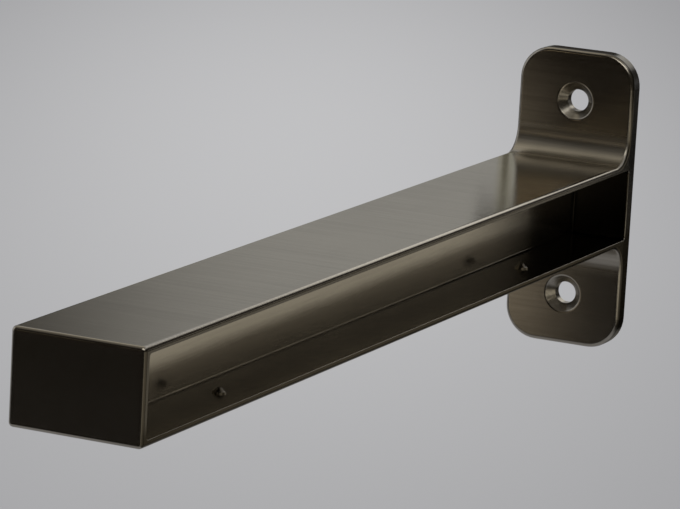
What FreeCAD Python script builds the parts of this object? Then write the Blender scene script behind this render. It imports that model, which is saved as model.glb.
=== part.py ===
import FreeCAD, Part
import math
import os

import Sketcher
from FreeCAD import Vector

# Shelf bracket, cast in one piece: a wall plate with two countersunk screw holes and an arm with a
# recess in each side, which leaves a top strip, a bottom strip, an end wall and an upright web.
# Frame, in millimetres: the wall is the plane Y = 0, the arm reaches out along -Y, +Z is up and X runs
# across. The origin is the middle of the plate's back, where the arm's centre line meets the wall.

# Each size: alias, value in millimetres (angles in degrees) and what it measures.
SIZES = [
    ("bracket_width", 30.0, "width of the plate and of the arm, side to side"),
    ("plate_height", 73.0, "height of the wall plate"),
    ("plate_thickness", 4.0, "thickness of the wall plate"),
    ("plate_corner_radius", 8.0, "round corners of the wall plate"),
    ("arm_length", 250.0, "wall to the outer end of the arm"),
    ("arm_height", 20.5, "height of the arm over its two strips"),
    ("strip_thickness", 1.6, "top and bottom strips of the arm, at their edges"),
    ("end_wall_thickness", 2.0, "wall that closes the outer end of the arm"),
    ("back_wall_thickness", 3.0, "metal left behind the side recesses, against the wall"),
    ("web_thickness", 2.0, "upright web along the middle of the arm"),
    ("root_radius", 6.0, "hollow rounds where the arm runs into the plate"),
    ("recess_corner_radius", 0.8, "corners of the side recesses, seen from the side"),
    ("web_root_radius", 0.4, "hollow rounds along the foot of the web"),
    ("edge_radius", 1.0, "rounding of the outer edges"),
    ("recess_edge_radius", 0.15, "rounding of the mouths of the side recesses"),
    ("screw_hole_diameter", 5.4, "through holes for the wall screws"),
    ("countersink_diameter", 9.2, "countersinks for the wall screws, at the face"),
    ("countersink_angle", 90.0, "full angle of the countersinks, in degrees"),
    ("countersink_edge_radius", 0.8, "soft rounding where a countersink meets the plate's face"),
    ("screw_hole_spacing", 48.0, "centre distance of the two wall screws"),
    ("pip_diameter", 3.0, "small pips on the floor of the side recesses"),
    ("pip_tip_diameter", 0.8, "blunt tip of a pip"),
    ("pip_shoulder_height", 0.3, "straight part of a pip, below its cone"),
    ("pip_height", 1.1, "height of a pip over the floor"),
    ("pip_wall_distance", 50.0, "wall to the inner pips"),
    ("pip_end_distance", 46.0, "outer pips to the outer end of the arm"),
]
TOLERANCE = 1e-3
VOLUME_SHARE = 1e-4
FULL_TURN = 360

doc = FreeCAD.newDocument("shelf_bracket")
sheet = doc.addObject("Spreadsheet::Sheet", "Sizes")
for row, (alias, value, note) in enumerate(SIZES, start=1):
    sheet.set("A%d" % row, alias)
    sheet.set("B%d" % row, str(value))
    sheet.setAlias("B%d" % row, alias)
    sheet.set("C%d" % row, note)
doc.recompute()


def size(alias):
    """The value of a size, as the sheet holds it."""
    return float(sheet.get(alias))


def near(first, second):
    """True where two lengths are the same within the model's tolerance."""
    return abs(first - second) < TOLERANCE


half_width = size("bracket_width") / 2
half_plate = size("plate_height") / 2
half_arm = size("arm_height") / 2
half_web = size("web_thickness") / 2
plate_face = -size("plate_thickness")
arm_end = -size("arm_length")
recess_back = -size("back_wall_thickness")
recess_end = arm_end + size("end_wall_thickness")
recess_half_height = half_arm - size("strip_thickness")

body = doc.addObject("PartDesign::Body", "Bracket")
body.Label = "shelf_bracket"


def origin_plane(role):
    """One of the body's own origin planes, found by its role."""
    for feature in body.Origin.OriginFeatures:
        if feature.Role == role:
            return feature
    raise RuntimeError("no origin plane " + role)


def new_sketch(name, role, lift=None, shift_x=None, shift_y=None):
    """A sketch on an origin plane; lift and shifts are expressions in the sizes."""
    sketch = body.newObject("Sketcher::SketchObject", name)
    sketch.AttachmentSupport = [(origin_plane(role), "")]
    sketch.MapMode = "FlatFace"
    for axis, expression in (("x", shift_x), ("y", shift_y), ("z", lift)):
        if expression:
            sketch.setExpression(".AttachmentOffset.Base." + axis, expression)
    return sketch


def bind(sketch, index, name, expression):
    """Name a dimension of a sketch and tie it to the sizes."""
    sketch.renameConstraint(index, name)
    sketch.setExpression("Constraints." + name, expression)


def draw_rectangle(sketch, left, bottom, right, top):
    """Four lines, joined and squared. Returns their numbers: bottom, right, top, left."""
    corners = [Vector(left, bottom, 0), Vector(right, bottom, 0), Vector(right, top, 0), Vector(left, top, 0)]
    lines = []
    for start, end in zip(corners, corners[1:] + corners[:1]):
        lines.append(sketch.addGeometry(Part.LineSegment(start, end), False))
    for line, following in zip(lines, lines[1:] + lines[:1]):
        sketch.addConstraint(Sketcher.Constraint("Coincident", line, 2, following, 1))
    for line in (lines[0], lines[2]):
        sketch.addConstraint(Sketcher.Constraint("Horizontal", line))
    for line in (lines[1], lines[3]):
        sketch.addConstraint(Sketcher.Constraint("Vertical", line))
    return lines


def centred_rectangle(sketch, width, height, width_size, height_size):
    """A rectangle centred on the sketch's origin, its sides tied to two expressions."""
    bottom, right, top, left = draw_rectangle(sketch, -width / 2, -height / 2, width / 2, height / 2)
    sketch.addConstraint(Sketcher.Constraint("Symmetric", bottom, 1, top, 1, -1, 1))
    across = sketch.addConstraint(Sketcher.Constraint("DistanceX", bottom, 1, bottom, 2, width))
    bind(sketch, across, "width", width_size)
    upright = sketch.addConstraint(Sketcher.Constraint("DistanceY", right, 1, right, 2, height))
    bind(sketch, upright, "height", height_size)


def add_pad(name, sketch, length_size):
    """Material from a sketch along its normal."""
    pad = body.newObject("PartDesign::Pad", name)
    pad.Profile = sketch
    pad.setExpression("Length", length_size)
    doc.recompute()
    return pad


def edge_points(edge):
    """Start, middle and end of an edge."""
    first, last = edge.ParameterRange
    return [edge.valueAt(first), edge.valueAt((first + last) / 2), edge.valueAt(last)]


def edges_where(feature, test):
    """Names of the edges whose start, middle and end all pass a test."""
    return ["Edge%d" % number for number, edge in enumerate(feature.Shape.Edges, start=1)
            if all(test(point) for point in edge_points(edge))]


def add_fillet(name, test, radius_size):
    """Round the edges of the newest feature that pass a test."""
    base = body.Tip
    edges = edges_where(base, test)
    if not edges:
        raise RuntimeError("no edges for " + name)
    fillet = body.newObject("PartDesign::Fillet", name)
    fillet.Base = (base, edges)
    fillet.setExpression("Radius", radius_size)
    doc.recompute()
    return fillet


# Wall plate and arm
plate_sketch = new_sketch("PlateOutline", "XZ_Plane")
centred_rectangle(plate_sketch, size("bracket_width"), size("plate_height"),
                  "Sizes.bracket_width", "Sizes.plate_height")
add_pad("Plate", plate_sketch, "Sizes.plate_thickness")

arm_sketch = new_sketch("ArmSection", "XZ_Plane")
centred_rectangle(arm_sketch, size("bracket_width"), size("arm_height"),
                  "Sizes.bracket_width", "Sizes.arm_height")
add_pad("Arm", arm_sketch, "Sizes.arm_length")

add_fillet("PlateCorners",
           lambda p: near(abs(p.x), half_width) and near(abs(p.z), half_plate),
           "Sizes.plate_corner_radius")
add_fillet("ArmRoot",
           lambda p: near(p.y, plate_face) and near(abs(p.z), half_arm),
           "Sizes.root_radius")

# Side recesses, which leave the web between them
recess_sketch = new_sketch("RecessOutline", "YZ_Plane", lift="Sizes.bracket_width / 2")
floor, back, ceiling, end = draw_rectangle(recess_sketch, recess_end, -recess_half_height,
                                           recess_back, recess_half_height)
drop = recess_sketch.addConstraint(Sketcher.Constraint("DistanceY", back, 1, -1, 1, recess_half_height))
bind(recess_sketch, drop, "half_height", "Sizes.arm_height / 2 - Sizes.strip_thickness")
reach = recess_sketch.addConstraint(Sketcher.Constraint("DistanceX", back, 1, -1, 1, -recess_back))
bind(recess_sketch, reach, "back_wall", "Sizes.back_wall_thickness")
recess_length = recess_back - recess_end
run = recess_sketch.addConstraint(Sketcher.Constraint("DistanceX", floor, 1, floor, 2, recess_length))
bind(recess_sketch, run, "run", "Sizes.arm_length - Sizes.end_wall_thickness - Sizes.back_wall_thickness")
tall = recess_sketch.addConstraint(Sketcher.Constraint("DistanceY", back, 1, back, 2, 2 * recess_half_height))
bind(recess_sketch, tall, "full_height", "Sizes.arm_height - 2 * Sizes.strip_thickness")

solid_arm = body.Tip.Shape.Volume
recess = body.newObject("PartDesign::Pocket", "Recess")
recess.Profile = recess_sketch
recess.setExpression("Length", "(Sizes.bracket_width - Sizes.web_thickness) / 2")
doc.recompute()
recess_volume = recess_length * 2 * recess_half_height * (half_width - half_web)
if abs(solid_arm - recess.Shape.Volume - recess_volume) > VOLUME_SHARE * recess_volume:
    raise RuntimeError("the recess does not cut what it should")

other_recess = body.newObject("PartDesign::Mirrored", "OtherRecess")
other_recess.Originals = [recess]
other_recess.MirrorPlane = (origin_plane("YZ_Plane"), [""])
body.Tip = other_recess
doc.recompute()


def in_recess_corner(p):
    """On an upright or level corner line of a recess, running in from the side."""
    return (near(abs(p.z), recess_half_height) and (near(p.y, recess_back) or near(p.y, recess_end))
            and half_web - TOLERANCE < abs(p.x) < half_width + TOLERANCE)


add_fillet("RecessCorners", in_recess_corner, "Sizes.recess_corner_radius")
add_fillet("WebRoot", lambda p: near(abs(p.x), half_web), "Sizes.web_root_radius")

# Pips on the recess floors: one turned shape, repeated along the arm and to the other side of the web
pip_sketch = new_sketch("PipProfile", "XZ_Plane", lift="Sizes.pip_wall_distance",
                        shift_x="(Sizes.bracket_width + Sizes.web_thickness) / 4",
                        shift_y="Sizes.strip_thickness - Sizes.arm_height / 2")
foot = -size("strip_thickness") / 2
shoulder = size("pip_shoulder_height")
tip = size("pip_height")
pip_points = [Vector(0, foot, 0), Vector(size("pip_diameter") / 2, foot, 0),
              Vector(size("pip_diameter") / 2, shoulder, 0), Vector(size("pip_tip_diameter") / 2, tip, 0),
              Vector(0, tip, 0)]
sides = [pip_sketch.addGeometry(Part.LineSegment(start, end), False)
         for start, end in zip(pip_points, pip_points[1:] + pip_points[:1])]
bottom, wall, cone, top, axis_line = sides
for line, following in zip(sides, sides[1:] + sides[:1]):
    pip_sketch.addConstraint(Sketcher.Constraint("Coincident", line, 2, following, 1))
pip_sketch.addConstraint(Sketcher.Constraint("Horizontal", bottom))
pip_sketch.addConstraint(Sketcher.Constraint("Vertical", wall))
pip_sketch.addConstraint(Sketcher.Constraint("Horizontal", top))
pip_sketch.addConstraint(Sketcher.Constraint("PointOnObject", bottom, 1, -2))
pip_sketch.addConstraint(Sketcher.Constraint("PointOnObject", top, 2, -2))
for line, end, kind, value, name, expression in (
        (bottom, 2, "DistanceX", pip_points[1].x, "radius", "Sizes.pip_diameter / 2"),
        (top, 1, "DistanceX", pip_points[3].x, "tip_radius", "Sizes.pip_tip_diameter / 2"),
        (wall, 2, "DistanceY", shoulder, "shoulder", "Sizes.pip_shoulder_height"),
        (top, 1, "DistanceY", tip, "height", "Sizes.pip_height")):
    index = pip_sketch.addConstraint(Sketcher.Constraint(kind, -1, 1, line, end, value))
    bind(pip_sketch, index, name, expression)
sink = pip_sketch.addConstraint(Sketcher.Constraint("DistanceY", bottom, 2, -1, 1, -foot))
bind(pip_sketch, sink, "foot", "Sizes.strip_thickness / 2")

pip = body.newObject("PartDesign::Revolution", "Pip")
pip.Profile = pip_sketch
pip.ReferenceAxis = (pip_sketch, ["V_Axis"])
pip.Angle = FULL_TURN
doc.recompute()

pips = body.newObject("PartDesign::MultiTransform", "Pips")
pips.Originals = [pip]
along = doc.addObject("PartDesign::LinearPattern", "PipsAlongArm")
along.Direction = (origin_plane("Y_Axis"), [""])
along.Reversed = True
along.Occurrences = 2
along.setExpression("Length", "Sizes.arm_length - Sizes.pip_wall_distance - Sizes.pip_end_distance")
across_web = doc.addObject("PartDesign::Mirrored", "PipsAcrossWeb")
across_web.MirrorPlane = (origin_plane("YZ_Plane"), [""])
pips.Transformations = [along, across_web]
body.Tip = pips
doc.recompute()

# Countersunk holes for the wall screws
screw_sketch = new_sketch("ScrewPositions", "XZ_Plane", lift="Sizes.plate_thickness")
spacing = size("screw_hole_spacing")
bore = size("screw_hole_diameter")
lower, upper = [
    screw_sketch.addGeometry(Part.Circle(Vector(0, height, 0), Vector(0, 0, 1), bore / 2), False)
    for height in (-spacing / 2, spacing / 2)]
screw_sketch.addConstraint(Sketcher.Constraint("PointOnObject", upper, 3, -2))
screw_sketch.addConstraint(Sketcher.Constraint("Symmetric", lower, 3, upper, 3, -1, 1))
screw_sketch.addConstraint(Sketcher.Constraint("Equal", lower, upper))
across = screw_sketch.addConstraint(Sketcher.Constraint("Diameter", upper, bore))
bind(screw_sketch, across, "diameter", "Sizes.screw_hole_diameter")
apart = screw_sketch.addConstraint(Sketcher.Constraint("DistanceY", lower, 3, upper, 3, spacing))
bind(screw_sketch, apart, "spacing", "Sizes.screw_hole_spacing")
doc.recompute()

solid_plate = body.Tip.Shape.Volume
holes = body.newObject("PartDesign::Hole", "WallScrewHoles")
holes.Profile = screw_sketch
doc.recompute()
holes.ThreadType = "None"
holes.DepthType = "ThroughAll"
holes.HoleCutType = "Countersink"
holes.HoleCutCustomValues = True
holes.setExpression("Diameter", "Sizes.screw_hole_diameter")
holes.setExpression("HoleCutDiameter", "Sizes.countersink_diameter")
holes.setExpression("HoleCutCountersinkAngle", "Sizes.countersink_angle")
doc.recompute()
straight_bores = 2 * math.pi * (bore / 2) ** 2 * size("plate_thickness")
if solid_plate - holes.Shape.Volume < straight_bores * (1 - VOLUME_SHARE):
    raise RuntimeError("the screw holes do not go through the plate")


def on_countersink_edge(p):
    """On the circle where a countersink meets the plate's face."""
    to_axis = math.hypot(p.x, abs(p.z) - spacing / 2)
    return near(p.y, plate_face) and near(to_axis, size("countersink_diameter") / 2)


def on_rounded_outline(across, up, half_across, half_up, radius):
    """On the outline of a rectangle with round corners, centred on the origin."""
    straight_across = half_across - radius
    straight_up = half_up - radius
    if abs(up) <= straight_up + TOLERANCE:
        return near(abs(across), half_across)
    if abs(across) <= straight_across + TOLERANCE:
        return near(abs(up), half_up)
    return near(math.hypot(abs(across) - straight_across, abs(up) - straight_up), radius)


def on_outer_rim(p):
    """On the edge between the side faces and the plate, arm and end wall, or round the end wall."""
    root = size("root_radius")
    past_root = abs(p.z) >= half_arm + root - TOLERANCE
    if near(p.y, plate_face) and past_root:
        return on_rounded_outline(p.x, p.z, half_width, half_plate, size("plate_corner_radius"))
    if near(p.y, arm_end):
        return near(abs(p.x), half_width) or near(abs(p.z), half_arm)
    if not near(abs(p.x), half_width):
        return False
    on_arm = near(abs(p.z), half_arm) and p.y <= plate_face - root + TOLERANCE
    to_root_centre = math.hypot(p.y - plate_face + root, abs(p.z) - half_arm - root)
    return on_arm or near(to_root_centre, root)


def on_recess_mouth(p):
    """On the edge where a recess opens in a side face."""
    middle = (recess_back + recess_end) / 2
    return near(abs(p.x), half_width) and on_rounded_outline(
        p.y - middle, p.z, recess_length / 2, recess_half_height, size("recess_corner_radius"))


add_fillet("CountersinkEdges", on_countersink_edge, "Sizes.countersink_edge_radius")
add_fillet("OuterEdges", on_outer_rim, "Sizes.edge_radius")
add_fillet("RecessMouths", on_recess_mouth, "Sizes.recess_edge_radius")

# Nothing is written unless the whole tree is sound
for item in doc.Objects:
    if "Invalid" in item.State or "Error" in item.State:
        raise RuntimeError("%s is %s" % (item.Name, item.State))
shape = body.Shape
if shape.isNull() or not shape.isValid() or len(shape.Solids) != 1:
    raise RuntimeError("the bracket is not one sound solid")

os.makedirs("parts", exist_ok=True)
shape.exportStep("parts/%s.step" % body.Label)
box = shape.optimalBoundingBox()
print("%s: %.1f mm3, %.2f x %.2f x %.2f mm, %d faces" % (
    body.Label, shape.Volume, box.XLength, box.YLength, box.ZLength, len(shape.Faces)))
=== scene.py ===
import math

import bpy
from mathutils import Matrix, Vector


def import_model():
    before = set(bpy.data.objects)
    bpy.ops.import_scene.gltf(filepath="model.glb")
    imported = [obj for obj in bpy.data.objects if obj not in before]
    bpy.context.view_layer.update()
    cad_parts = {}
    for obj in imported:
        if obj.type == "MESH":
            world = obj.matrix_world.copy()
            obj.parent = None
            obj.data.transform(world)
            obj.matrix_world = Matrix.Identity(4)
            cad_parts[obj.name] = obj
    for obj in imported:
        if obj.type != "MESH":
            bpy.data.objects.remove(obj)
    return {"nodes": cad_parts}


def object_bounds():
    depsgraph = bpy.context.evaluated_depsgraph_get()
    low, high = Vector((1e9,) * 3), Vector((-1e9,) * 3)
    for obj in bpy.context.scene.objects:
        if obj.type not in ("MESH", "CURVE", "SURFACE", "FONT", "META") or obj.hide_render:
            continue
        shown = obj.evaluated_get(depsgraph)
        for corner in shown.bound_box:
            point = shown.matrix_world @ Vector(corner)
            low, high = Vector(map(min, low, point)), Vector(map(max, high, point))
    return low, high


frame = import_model()
cad_low, cad_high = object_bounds()

# Places and sizes in metres, in the bracket's own frame: the wall is Y = 0 and the arm reaches along -Y.
NODE = "shelf_bracket"
MM = 0.001
HALF_WIDTH = cad_high.x
ARM_TOP = 10.25 * MM
RECESS_HALF_HEIGHT = 8.65 * MM
RECESS_BACK = -3.0 * MM
PLATE_FACE = -4.0 * MM
ROOT_ROUND = 6.0 * MM
SCREW_HEIGHT = 24.0 * MM
COUNTERSINK_RADIUS = 4.6 * MM
FLOOR_DROP = 0.32
ON_FLOOR = -FLOOR_DROP + 2 * MM

# Colours of the metal, linear: the nickel, a darker nickel for the strokes and for painted shade in the
# recesses, painted shade on the side faces, darker on their lower part, on the plate's edge faces and deep
# in the recesses, and a darker specular tint that paints shade on the lower side faces
NICKEL = (0.43, 0.40, 0.345)
NICKEL_DARK = (0.34, 0.313, 0.267)
SIDE_PAINTED_SHADE = (0.12, 0.106, 0.084)
LOW_SIDE_PAINTED_SHADE = (0.05, 0.043, 0.033)
RIM_PAINTED_SHADE = (0.05, 0.045, 0.036)
DEEP_PAINTED_SHADE = (0.015, 0.013, 0.010)
LOW_SIDE_SHADE_TINT = (0.6, 0.58, 0.54)

# Colours of the room, linear
WHITE = (1.0, 1.0, 1.0)
PALE = (0.53, 0.53, 0.54)
PALE_EDGE = (0.30, 0.30, 0.31)
BRIGHTEST = (1.5, 1.45, 1.35)
BRIGHT = (1.15, 1.12, 1.05)
GREY = (0.37, 0.365, 0.345)
LOW_GREY = (0.15, 0.14, 0.12)
DIM = (0.055, 0.050, 0.042)
DARK = (0.014, 0.0115, 0.0085)

# How far a normal leans to the side, front or top where its face starts to count, and where it fully does
FACES_SIDE = (0.6, 0.85)
FACES_FRONT = (0.3, 0.6)
FACES_TOP = (0.9, 0.98)

# Strokes of the brush: grains in a metre along a stroke and across it, and layers of detail
FINE_STROKES = (90.0, 8000.0, 2.0)
WIDE_STROKES = (25.0, 1500.0, 3.0)
CLOUD_GRAINS = (40.0, 25.0, 40.0)

# The relief of the strokes, and of the turned rings in the countersinks
RELIEF_STRENGTH = 0.28
RELIEF_DEPTH = 0.03 * MM
MEAN_RELIEF = 0.5
RING_TURN = 22.0 / MM
RING_RELIEF = 0.03

# The metal's tone: the share of the wide strokes in it, where it changes, how much painted shade the
# recesses get, and how much of the painted shade on the side faces and the plate's edge shows
TONE_STROKES = 0.6
TONE_CHANGE = (0.36, 0.64)
RECESS_SHADE_SHARE = 0.5
PAINTED_SHADE_SHARE = 0.9

# Roughness: the least, what strokes, clouds and the finish masks add to it, and that of the web and
# countersinks
ROUGH_LEAST = 0.10
ROUGH_STROKES = 0.08
ROUGH_CLOUDS = 0.07
ROUGH_ADDED = {"outer_side": 0.04, "level": -0.06, "root": 0.14}
ROUGH_WEB = 0.14
ROUGH_TURNED = 0.24

# The camera: its direction and roll in degrees, and its distance and the origin's offset in metres
AZIMUTH, ELEVATION, ROLL = 25.273, 11.842, 3.166
DISTANCE = 1.06353
ORIGIN_RIGHT = 0.057711
ORIGIN_UP = 0.014508
FOCAL_PIXELS = 4332.6
PICTURE_PIXELS = 680
SENSOR_WIDTH = 36.0


class Nodes:
    """A small helper for one node tree: adds nodes and joins them."""

    def __init__(self, tree):
        self.tree = tree
        self.tree.nodes.clear()

    def add(self, kind, **values):
        node = self.tree.nodes.new("ShaderNode" + kind)
        for name, value in values.items():
            setattr(node, name, value)
        return node

    def set(self, socket, value):
        """Joins a socket to another socket, or gives it a plain value."""
        if isinstance(value, bpy.types.NodeSocket):
            self.tree.links.new(value, socket)
        elif value is not None:
            socket.default_value = value

    def math(self, operation, first, second=None, third=None):
        node = self.add("Math", operation=operation)
        for socket, value in zip(node.inputs, (first, second, third)):
            self.set(socket, value)
        return node.outputs[0]

    def product(self, *values):
        """All the values multiplied."""
        total = values[0]
        for value in values[1:]:
            total = self.math("MULTIPLY", total, value)
        return total

    def rest_of(self, share):
        """What a share leaves of 1."""
        return self.math("SUBTRACT", 1.0, share)

    def vector(self, operation, first, second=None):
        node = self.add("VectorMath", operation=operation)
        for socket, value in zip(node.inputs, (first, second)):
            self.set(socket, value)
        return node.outputs["Value"] if operation in ("DOT_PRODUCT", "LENGTH") else node.outputs[0]

    def parts(self, vector):
        """The three parts of a vector."""
        node = self.add("SeparateXYZ")
        self.set(node.inputs[0], vector)
        return node.outputs

    def step(self, value, low, high, start=0.0, end=1.0):
        """A smooth change from start to end as value goes from low to high."""
        node = self.add("MapRange", interpolation_type="SMOOTHSTEP")
        for name, setting in (("Value", value), ("From Min", low), ("From Max", high),
                              ("To Min", start), ("To Max", end)):
            self.set(node.inputs[name], setting)
        return node.outputs["Result"]

    def drop(self, value, low, high):
        """A smooth fall from 1 to 0 as value goes from low to high."""
        return self.step(value, low, high, 1.0, 0.0)

    def past(self, value, place, low, high):
        """A smooth rise from 0 to 1 beside a place, from low to high millimetres off it."""
        return self.step(value, place + low * MM, place + high * MM)

    def before(self, value, place, low, high):
        """A smooth fall from 1 to 0 beside a place, from low to high millimetres off it."""
        return self.drop(value, place + low * MM, place + high * MM)

    def noise(self, vector, grains, detail, rough):
        """Noise with that number of grains in a metre along each axis."""
        stretch = self.vector("MULTIPLY", vector, grains)
        node = self.add("TexNoise")
        self.set(node.inputs["Vector"], stretch)
        self.set(node.inputs["Scale"], 1.0)
        self.set(node.inputs["Detail"], detail)
        self.set(node.inputs["Roughness"], rough)
        return node.outputs[0]

    def mix(self, share, first, second):
        """A mix of two numbers, sockets or plain."""
        node = self.add("Mix", data_type="FLOAT")
        for socket, value in zip((node.inputs[0], node.inputs[2], node.inputs[3]), (share, first, second)):
            self.set(socket, value)
        return node.outputs[0]

    def mix_colour(self, share, first, second):
        """A mix of two colours, sockets or plain."""
        node = self.add("Mix", data_type="RGBA")
        self.set(node.inputs[0], share)
        for socket, value in ((node.inputs[6], first), (node.inputs[7], second)):
            if isinstance(value, tuple):
                value = (*value, 1.0)
            self.set(socket, value)
        return node.outputs[2]


def new_material(name):
    """A new material and the helper for its emptied node tree."""
    material = bpy.data.materials.new(name)
    material.use_nodes = True
    return material, Nodes(material.node_tree)


def finish_with(n, surface):
    """Joins a shader to the material's output."""
    out = n.add("OutputMaterial")
    n.set(out.inputs["Surface"], surface)


def distance_to_screw(n, place):
    """The distance to the axis of the nearer screw hole."""
    across, _, up = n.parts(place)
    off_height = n.math("SUBTRACT", n.math("ABSOLUTE", up), SCREW_HEIGHT)
    return n.math("SQRT", n.math("ADD", n.product(across, across), n.product(off_height, off_height)))


def finish_and_shade_masks(n, place, to_screw):
    """Where each finish and each place of painted shade lies, from 0 to 1, by its name."""
    across, along, up = n.parts(place)
    from_middle = n.math("ABSOLUTE", across)
    height = n.math("ABSOLUTE", up)
    facing = n.parts(n.add("NewGeometry").outputs["Normal"])
    to_side, to_front, to_top = [n.math("ABSOLUTE", facing[axis]) for axis in range(3)]

    # The side faces, the level ones, and the turned countersinks
    side = n.step(to_side, *FACES_SIDE)
    outer_side = n.product(side, n.past(from_middle, HALF_WIDTH, -0.7, -0.2))
    # The lower part, where the side faces get a darker painted shade
    low = n.drop(up, -RECESS_HALF_HEIGHT, -0.5 * RECESS_HALF_HEIGHT)
    level = n.step(to_top, *FACES_TOP)
    turned = n.before(to_screw, COUNTERSINK_RADIUS, -0.1, 0.2)

    # The inside of the recesses, which gets painted shade, and the part of it close to the wall, where the
    # painted shade is darkest
    inside_width = n.before(from_middle, HALF_WIDTH, -0.5, -0.1)
    inside_height = n.before(height, RECESS_HALF_HEIGHT, 0.0, 0.1)
    recess = n.product(inside_width, inside_height, n.before(along, RECESS_BACK, -0.05, 0.4))
    deep = n.product(recess, n.past(along, RECESS_BACK, -3.0, -0.5))

    # The plate's edge faces, which get painted shade, and the hollow rounds at the arm's root
    edge_face = n.product(n.drop(to_front, *FACES_FRONT), n.past(along, PLATE_FACE, 0.1, 0.6))
    rim = n.product(edge_face, n.rest_of(turned))
    hollow = n.product(n.past(along, PLATE_FACE - ROOT_ROUND, -0.5, 1.5),
                       n.before(along, PLATE_FACE, 1.0, 2.0),
                       n.before(height, ARM_TOP + ROOT_ROUND, -0.5, 2.5))
    root = n.product(hollow, n.rest_of(inside_height), n.rest_of(side))

    return {"side": side, "outer_side": outer_side, "low": low, "level": level, "turned": turned,
            "recess": recess, "deep": deep, "rim": rim, "root": root}


def strokes(n, place, side, along, across, detail):
    """Strokes of the brush: across the bracket, but along the arm on its side faces."""
    sideways = n.noise(place, (along, across, across), detail, rough=0.6)
    lengthwise = n.noise(place, (across, along, across), detail, rough=0.6)
    return n.mix(side, sideways, lengthwise)


def metal_relief(n, place, to_screw, finish_and_shade):
    """Fine strokes, and turned rings in the countersinks."""
    fine = strokes(n, place, finish_and_shade["side"], *FINE_STROKES)
    along = n.parts(place)[1]
    rings = n.math("SINE", n.product(n.math("SUBTRACT", to_screw, along), RING_TURN))
    return n.mix(finish_and_shade["turned"], fine, n.math("MULTIPLY_ADD", rings, RING_RELIEF, MEAN_RELIEF))


def metal_colour(n, finish_and_shade, lines, clouds):
    """Nickel with slightly darker strokes, and painted shade in the recesses, on the side faces, darker on
    their lower part, on the plate's edge faces and darkest in the recesses close to the wall.
    """
    tone = n.math("MULTIPLY_ADD", lines, TONE_STROKES, n.product(clouds, 1.0 - TONE_STROKES))
    colour = n.mix_colour(n.step(tone, *TONE_CHANGE), NICKEL_DARK, NICKEL)
    # Painted shade: the recesses half-way to the darker nickel, then the side faces, the plate's edge faces
    # and the recess close to the wall
    colour = n.mix_colour(n.product(finish_and_shade["recess"], RECESS_SHADE_SHARE), colour, NICKEL_DARK)
    painted_side_shade = n.mix_colour(finish_and_shade["low"], SIDE_PAINTED_SHADE, LOW_SIDE_PAINTED_SHADE)
    colour = n.mix_colour(n.product(finish_and_shade["outer_side"], PAINTED_SHADE_SHARE), colour, painted_side_shade)
    colour = n.mix_colour(n.product(finish_and_shade["rim"], PAINTED_SHADE_SHARE), colour, RIM_PAINTED_SHADE)
    return n.mix_colour(finish_and_shade["deep"], colour, DEEP_PAINTED_SHADE)


def metal_roughness(n, finish_and_shade, lines, clouds):
    """Rougher on the sides and at the root, and smoother on the level faces."""
    rough = n.math("MULTIPLY_ADD", lines, ROUGH_STROKES, ROUGH_LEAST)
    rough = n.math("MULTIPLY_ADD", clouds, ROUGH_CLOUDS, rough)
    rough = n.mix(n.product(finish_and_shade["recess"], finish_and_shade["side"]), rough, ROUGH_WEB)
    for name, added in ROUGH_ADDED.items():
        rough = n.math("MULTIPLY_ADD", finish_and_shade[name], added, rough)
    return n.mix(finish_and_shade["turned"], rough, ROUGH_TURNED)


def brushed_nickel():
    """Brushed nickel, with painted shade on the side faces, at the plate's edge and in the recesses, darkest
    deep in them.
    """
    material, n = new_material("brushed_nickel")
    place = n.add("TexCoord").outputs["Object"]
    to_screw = distance_to_screw(n, place)
    finish_and_shade = finish_and_shade_masks(n, place, to_screw)
    lines = strokes(n, place, finish_and_shade["side"], *WIDE_STROKES)
    clouds = n.noise(place, CLOUD_GRAINS, detail=3.0, rough=0.55)
    # A darker specular tint on the lower side faces, which paints shade there
    tint = n.mix_colour(n.product(finish_and_shade["outer_side"], finish_and_shade["low"]), WHITE, LOW_SIDE_SHADE_TINT)

    bump = n.add("Bump")
    bump.inputs["Strength"].default_value = RELIEF_STRENGTH
    bump.inputs["Distance"].default_value = RELIEF_DEPTH
    n.set(bump.inputs["Height"], metal_relief(n, place, to_screw, finish_and_shade))

    shader = n.add("BsdfPrincipled")
    shader.inputs["Metallic"].default_value = 1.0
    n.set(shader.inputs["Base Color"], metal_colour(n, finish_and_shade, lines, clouds))
    n.set(shader.inputs["Roughness"], metal_roughness(n, finish_and_shade, lines, clouds))
    n.set(shader.inputs["Specular Tint"], tint)
    n.set(shader.inputs["Normal"], bump.outputs[0])
    finish_with(n, shader.outputs[0])
    return material


def stage_mesh(name, corners):
    """A flat piece of the stage, with its corners at (0, 0), (1, 0), (1, 1) and (0, 1) of its UV map."""
    mesh = bpy.data.meshes.new(name)
    mesh.from_pydata(corners, [], [tuple(range(len(corners)))])
    layer = mesh.uv_layers.new(name="UVMap")
    for loop, spot in zip(layer.data, ((0, 0), (1, 0), (1, 1), (0, 1))):
        loop.uv = spot
    piece = bpy.data.objects.new(name, mesh)
    bpy.context.scene.collection.objects.link(piece)
    return piece


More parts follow.
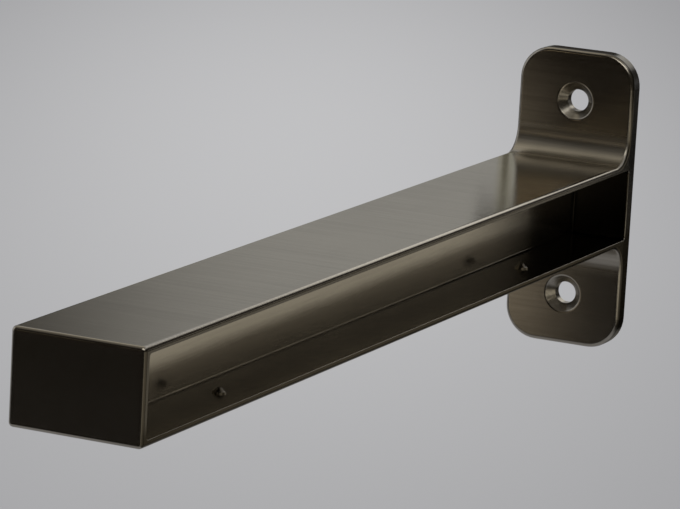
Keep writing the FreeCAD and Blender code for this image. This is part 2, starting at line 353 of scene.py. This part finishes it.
def floor():
    """A wide pale floor with a brighter pool of light behind the bracket."""
    half = 6.0
    pool = (-0.85, 1.6, 0.0)
    pool_turn = math.radians(25.3)
    half_across, half_deep = 0.5, 1.9
    piece = stage_mesh("floor", [(-half, -half, -FLOOR_DROP), (half, -half, -FLOOR_DROP),
                                 (half, half, -FLOOR_DROP), (-half, half, -FLOOR_DROP)])
    material, n = new_material("pale_floor")
    off = n.vector("SUBTRACT", n.add("TexCoord").outputs["Object"], pool)
    level = (math.cos(pool_turn) / half_across, math.sin(pool_turn) / half_across, 0.0)
    deep = (-math.sin(pool_turn) / half_deep, math.cos(pool_turn) / half_deep, 0.0)
    spot = n.add("CombineXYZ")
    n.set(spot.inputs[0], n.vector("DOT_PRODUCT", off, level))
    n.set(spot.inputs[1], n.vector("DOT_PRODUCT", off, deep))
    away = n.vector("LENGTH", spot.outputs[0])
    shader = n.add("BsdfDiffuse")
    n.set(shader.inputs["Color"], n.mix_colour(n.step(away, 0.0, 1.0), PALE, PALE_EDGE))
    finish_with(n, shader.outputs[0])
    piece.data.materials.append(material)


def card(name, corner, across, rise, colour, soft, top=None, one_sided=False):
    """A card that only reflections see, bright or dark, with soft edges.

    It spans from a corner along two vectors. Its colour turns into top's along rise, where top is given.
    Soft is the share of the card over which the left, right, lower and upper edges fade.
    A one-sided card shows only on the side from which its first edge runs to the right.
    """
    corner, across, rise = Vector(corner), Vector(across), Vector(rise)
    piece = stage_mesh(name, [corner, corner + across, corner + across + rise, corner + rise])
    material, n = new_material(name)
    u, v, _ = n.parts(n.add("TexCoord").outputs["UV"])
    left, right, lower, upper = soft
    shown = n.product(n.step(u, 0.0, left), n.drop(u, 1.0 - right, 1.0),
                      n.step(v, 0.0, lower), n.drop(v, 1.0 - upper, 1.0))
    if one_sided:
        shown = n.product(shown, n.rest_of(n.add("NewGeometry").outputs["Backfacing"]))
    glow = n.add("Emission")
    n.set(glow.inputs["Color"], n.mix_colour(v, colour, top or colour))
    clear = n.add("BsdfTransparent")
    mix = n.add("MixShader")
    n.set(mix.inputs[0], shown)
    n.set(mix.inputs[1], clear.outputs[0])
    n.set(mix.inputs[2], glow.outputs[0])
    finish_with(n, mix.outputs[0])
    piece.data.materials.append(material)
    piece.visible_camera = False
    piece.visible_diffuse = False
    piece.visible_shadow = False


def dark_room():
    """The dark in front, at the right, and behind at the right."""
    left, front, width = -1.6, -1.2, 3.2
    card("room_front", (left, front, -FLOOR_DROP), (width, 0, 0), (0, 0, 1.9),
         DARK, (0.02, 0.02, 0.01, 0.02))
    card("floor_front", (left, front, ON_FLOOR), (width, 0, 0), (0, 0.75, 0),
         DARK, (0.02, 0.02, 0.01, 0.2))
    card("room_right", (1.0, front, -FLOOR_DROP), (0, 2.2, 0), (0, 0, 1.5),
         DARK, (0.01, 0.1, 0.01, 0.2), top=DIM)
    card("floor_right", (0.2, -0.5, ON_FLOOR), (0.8, 0, 0), (0, 1.3, 0),
         DARK, (0.3, 0.01, 0.1, 0.3), top=DIM)
    card("room_back", (0.25, 1.4, 0.0), (1.6, 0, 0), (0, 0, 1.2), DIM, (0.15, 0.1, 0.2, 0.2))


def panels_and_lamps():
    """Panels behind, overhead, in front and on the floor, a window behind and a lamp in front."""
    ceiling_front = (0.04, 0.037, 0.032)
    ceiling_back = (0.42, 0.392, 0.338)
    warm = (0.20, 0.176, 0.136)
    card("panel_back", (-1.2, 1.25, -0.1), (0.9, 0, 0), (0, 0, 0.9), GREY, (0.2, 0.3, 0.1, 0.3))
    card("ceiling", (-1.4, -1.3, 1.4), (2.2, 0, 0), (0, 2.2, 0),
         ceiling_front, (0.1, 0.1, 0.01, 0.2), top=ceiling_back)
    card("panel_front", (-0.72, -1.15, 0.25), (0.36, 0, 0), (0, 0, 0.11), warm, (0.2, 0.2, 0.2, 0.3))
    card("floor_back", (-0.5, 0.45, ON_FLOOR), (1.4, 0, 0), (0, 1.2, 0), LOW_GREY, (0.1, 0.1, 0.1, 0.1))
    card("window", (-0.35, 1.0, 0.34), (0.80, 0, 0), (0, 0, 0.36), BRIGHT, (0.25, 0.25, 0.2, 0.2))
    card("lamp", (-0.15, -0.75, 0.45), (0.90, 0, 0), (0, 0.35, 0.45), BRIGHTEST, (0.1, 0.2, 0.2, 0.2))


def cards_by_the_plate():
    """What the plate and the arm's top beside it pick up, and what fades the arm's outer end."""
    sand = (0.60, 0.525, 0.415)
    sand_dim = (0.27, 0.236, 0.186)
    amber = (0.70, 0.574, 0.393)
    card("left_back", (-0.90, 0.30, -0.10), (0.678, 0, 0), (0, 0, 0.50), DIM, (0.1, 0.2, 0.1, 0.1))
    card("beside_arm", (-0.083, -0.092, -0.070), (0.065, 0, 0), (-0.012, 0, 0.092),
         sand, (0.1, 0.9, 0.2, 0.12), top=sand_dim)
    card("arm_shade", (-0.052, -0.090, -0.012), (0.045, 0, 0), (0, 0, 0.018), DARK, (0.3, 0.1, 0.3, 0.5))
    card("over_arm", (-0.095, -0.300, 0.080), (-0.095, 0, 0), (0, 0, 0.040),
         amber, (0.15, 0.15, 0.15, 0.2), one_sided=True)


def cards_over_the_root():
    """What brightens the hollow round over the arm, and what darkens its right half."""
    cream = (0.66, 0.618, 0.528)
    card("root_glow", (-0.260, -0.120, 0.300), (0.200, 0, 0), (0, 0.340, 0), cream, (0.3, 0.3, 0.3, 0.3))
    card("root_shade", (0.018, -0.030, 0.026), (-0.034, 0, 0), (-0.006, -0.004, 0.050),
         DARK, (0.1, 0.6, 0.1, 0.3), one_sided=True)


def cards_beside_the_recess():
    """At the right of the arm: light that is strongest at the arm's height, and the dark past the wall."""
    beside = 0.060
    past_end = -0.290
    start, reach = -0.175, 0.265
    light_low = (0.38, 0.352, 0.29)
    light = (0.58, 0.545, 0.465)
    light_high = (0.82, 0.755, 0.62)
    light_top = (0.10, 0.09, 0.07)
    end_light = (0.32, 0.295, 0.24)
    fill = (0.08, 0.073, 0.06)
    deep_dark = (0.010, 0.009, 0.008)
    card("side_light", (beside, start, -0.052), (0, reach, 0), (0, 0, 0.044),
         light_low, (0.05, 0.01, 0.3, 0.16), top=light)
    card("side_light_high", (beside, start, 0.006), (0, reach, 0), (0, 0, 0.011),
         light_high, (0.05, 0.03, 0.1, 0.4), top=light_top)
    card("end_light", (beside, past_end, -0.045), (0, 0.090, 0), (0, 0, 0.060),
         end_light, (0.2, 0.3, 0.2, 0.3))
    card("side_fill", (beside + MM, past_end, -0.060), (0, 0.375, 0), (0, 0, 0.085),
         fill, (0.1, 0.02, 0.2, 0.3))
    card("side_dark", (beside + 2 * MM, 0.094, -0.20), (0, 0.40, 0), (0, 0, 0.26),
         deep_dark, (0.01, 0.3, 0.1, 0.2))


def cards_behind_the_wall():
    """The dark over the plate, and the window's upright bars, which show in the arm's top beside it."""
    bar_rise = (0, 0, 0.024)
    light_bar = (0.33, 0.32, 0.27)
    dark_bar = (0.15, 0.14, 0.105)
    card("over_plate", (-0.045, 0.040, 0.036), (0.050, 0, 0), (0, 0, 0.026), DIM, (0.05, 0.2, 0.05, 0.2))
    card("bar_light", (-0.0300, 0.020, 0.012), (0.0053, 0, 0), bar_rise, light_bar, (0.1, 0.1, 0.1, 0.3))
    card("bar_dark", (-0.0277, 0.018, 0.012), (0.0018, 0, 0), bar_rise, dark_bar, (0.05, 0.05, 0.1, 0.3))


def world():
    """Pale to the camera and in reflections, and plain white light on the floor."""
    scene_world = bpy.data.worlds.new("studio")
    scene_world.use_nodes = True
    bpy.context.scene.world = scene_world
    n = Nodes(scene_world.node_tree)
    path = n.add("LightPath")
    seen = n.math("MAXIMUM", path.outputs["Is Camera Ray"], path.outputs["Is Glossy Ray"])
    seen = n.math("MAXIMUM", seen, path.outputs["Is Transmission Ray"])
    sky = n.add("Background")
    n.set(sky.inputs["Color"], n.mix_colour(seen, WHITE, PALE))
    out = n.add("OutputWorld")
    n.set(out.inputs["Surface"], sky.outputs[0])


def camera():
    """Looks along the arm from the right front, a little above it, with a long lens."""
    azimuth, elevation, roll = (math.radians(angle) for angle in (AZIMUTH, ELEVATION, ROLL))
    back = Vector((math.sin(azimuth) * math.cos(elevation), -math.cos(azimuth) * math.cos(elevation),
                   math.sin(elevation)))
    level = Vector((math.cos(azimuth), math.sin(azimuth), 0))
    rise = back.cross(level)
    right = math.cos(roll) * level + math.sin(roll) * rise
    up = -math.sin(roll) * level + math.cos(roll) * rise
    data = bpy.data.cameras.new("camera")
    data.sensor_width = SENSOR_WIDTH
    data.lens = FOCAL_PIXELS * SENSOR_WIDTH / PICTURE_PIXELS
    data.clip_start = 0.05
    data.clip_end = 50.0
    piece = bpy.data.objects.new("camera", data)
    turn = Matrix((right, up, back)).transposed().to_4x4()
    place = DISTANCE * back - ORIGIN_RIGHT * right - ORIGIN_UP * up
    piece.matrix_world = Matrix.Translation(place) @ turn
    bpy.context.scene.collection.objects.link(piece)
    bpy.context.scene.camera = piece


bracket = frame["nodes"][NODE]
bracket.data.materials.clear()
bracket.data.materials.append(brushed_nickel())

world()
floor()
dark_room()
panels_and_lamps()
cards_by_the_plate()
cards_over_the_root()
cards_beside_the_recess()
cards_behind_the_wall()
camera()

bpy.context.scene.view_settings.view_transform = "Standard"
